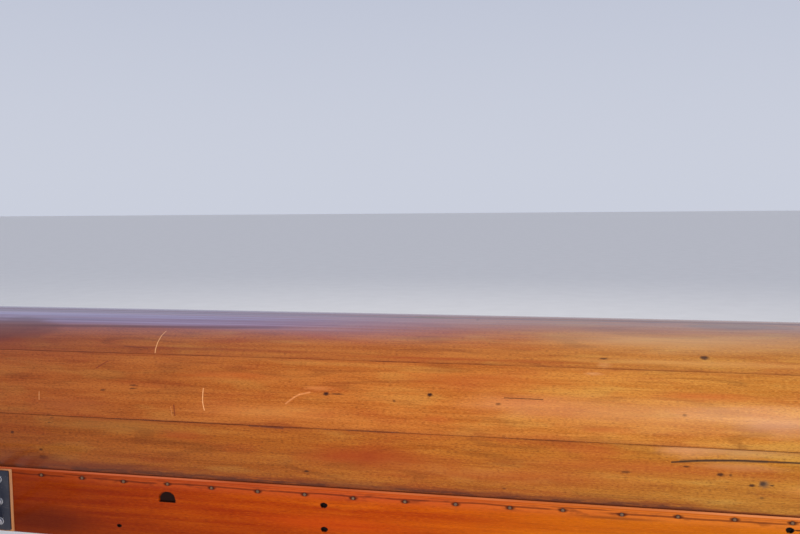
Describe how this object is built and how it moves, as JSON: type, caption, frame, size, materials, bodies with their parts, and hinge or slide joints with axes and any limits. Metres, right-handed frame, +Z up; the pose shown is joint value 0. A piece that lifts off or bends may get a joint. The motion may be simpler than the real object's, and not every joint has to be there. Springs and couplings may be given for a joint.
{
  "type": "wooden coxed four racing shell on trestles",
  "caption": "Wooden rowing shell stored keel up on folding X-leg trestles, with sweep riggers, swinging oarlocks, sliding seats, stretchers, cox seat and rudder.",
  "frame": {"origin": "on the floor, below the middle of the whole part's box", "axes": "+X along the boat toward the bow, +Z up, +Y toward the starboard side of the upturned boat"},
  "size_m": [13, 1.736, 1.2126],
  "materials": {
    "cedar": "varnished, satin to glossy",
    "varnished_board": "red-orange varnish, glossy",
    "frame_wood": "varnished, satin",
    "deck_cloth": "varnished cloth",
    "dark_steel": "blue-black paint, worn",
    "bronze": "dull cast",
    "alloy": "mill finish",
    "ball_rubber": "matte",
    "rudder_wood": "painted yellow-tan",
    "trestle_timber": "weathered oil",
    "sling_cloth": "heavy cloth"
  },
  "bodies": {
    "shell": {"port_garboard_strake": "cedar", "port_bilge_strake": "cedar", "port_side_strake": "cedar", "port_inwale": "frame_wood", "port_sax_board": "varnished_board", "starboard_garboard_strake": "cedar", "starboard_bilge_strake": "cedar", "starboard_side_strake": "cedar", "starboard_inwale": "frame_wood", "starboard_sax_board": "varnished_board", "stern_end_planking": "cedar", "bow_end_planking": "cedar", "keelson_and_ribs_stern": "frame_wood", "keelson_and_ribs_middle": "frame_wood", "keelson_and_ribs_bow": "frame_wood", "stern_deck": "deck_cloth", "stern_bulkhead": "frame_wood", "bow_deck": "deck_cloth", "bow_bulkhead": "frame_wood", "splashboard": "varnished_board", "stem": "cedar", "bow_ball": "ball_rubber", "stern_post": "frame_wood", "fin": "dark_steel", "cox_seat": "varnished_board", "cox_backrest": "varnished_board", "rigger_1": "dark_steel", "seat_tracks_1": "frame_wood", "foot_stretcher_1": "frame_wood", "rigger_2": "dark_steel", "seat_tracks_2": "frame_wood", "foot_stretcher_2": "frame_wood", "rigger_3": "dark_steel", "seat_tracks_3": "frame_wood", "foot_stretcher_3": "frame_wood", "rigger_4": "dark_steel", "seat_tracks_4": "frame_wood", "foot_stretcher_4": "frame_wood", "stern_trestle_outer_frame": "trestle_timber", "stern_trestle_inner_frame": "trestle_timber", "stern_trestle_pivot": "dark_steel", "stern_trestle_sling": "sling_cloth", "bow_trestle_outer_frame": "trestle_timber", "bow_trestle_inner_frame": "trestle_timber", "bow_trestle_pivot": "dark_steel", "bow_trestle_sling": "sling_cloth"},
    "oarlock_1": {"oarlock_1": "bronze"},
    "seat_1": {"seat_carriage_1": "alloy", "seat_top_1": "varnished_board"},
    "oarlock_2": {"oarlock_2": "bronze"},
    "seat_2": {"seat_carriage_2": "alloy", "seat_top_2": "varnished_board"},
    "oarlock_3": {"oarlock_3": "bronze"},
    "seat_3": {"seat_carriage_3": "alloy", "seat_top_3": "varnished_board"},
    "oarlock_4": {"oarlock_4": "bronze"},
    "seat_4": {"seat_carriage_4": "alloy", "seat_top_4": "varnished_board"},
    "rudder": {"rudder": "rudder_wood", "rudder_yoke": "bronze"}
  },
  "joints": [
    {"name": "oarlock_1_swing", "type": "hinge", "parent": "shell", "child": "oarlock_1", "pos_m": [2.4, -0.84, 0.686], "axis": [0, 0, 1], "range_deg": [-65, 65]},
    {"name": "seat_1_slide", "type": "slide", "parent": "shell", "child": "seat_1", "axis": [1, 0, 0], "range_m": [-0.24, 0.3]},
    {"name": "oarlock_2_swing", "type": "hinge", "parent": "shell", "child": "oarlock_2", "pos_m": [1.03, 0.84, 0.686], "axis": [0, 0, 1], "range_deg": [-65, 65]},
    {"name": "seat_2_slide", "type": "slide", "parent": "shell", "child": "seat_2", "axis": [1, 0, 0], "range_m": [-0.24, 0.3]},
    {"name": "oarlock_3_swing", "type": "hinge", "parent": "shell", "child": "oarlock_3", "pos_m": [-0.34, -0.84, 0.686], "axis": [0, 0, 1], "range_deg": [-65, 65]},
    {"name": "seat_3_slide", "type": "slide", "parent": "shell", "child": "seat_3", "axis": [1, 0, 0], "range_m": [-0.24, 0.3]},
    {"name": "oarlock_4_swing", "type": "hinge", "parent": "shell", "child": "oarlock_4", "pos_m": [-1.71, 0.84, 0.686], "axis": [0, 0, 1], "range_deg": [-65, 65]},
    {"name": "seat_4_slide", "type": "slide", "parent": "shell", "child": "seat_4", "axis": [1, 0, 0], "range_m": [-0.24, 0.3]},
    {"name": "rudder_turn", "type": "hinge", "parent": "shell", "child": "rudder", "pos_m": [-6.398, 0, 1], "axis": [0, 0, 1], "range_deg": [-35, 35]}
  ]
}
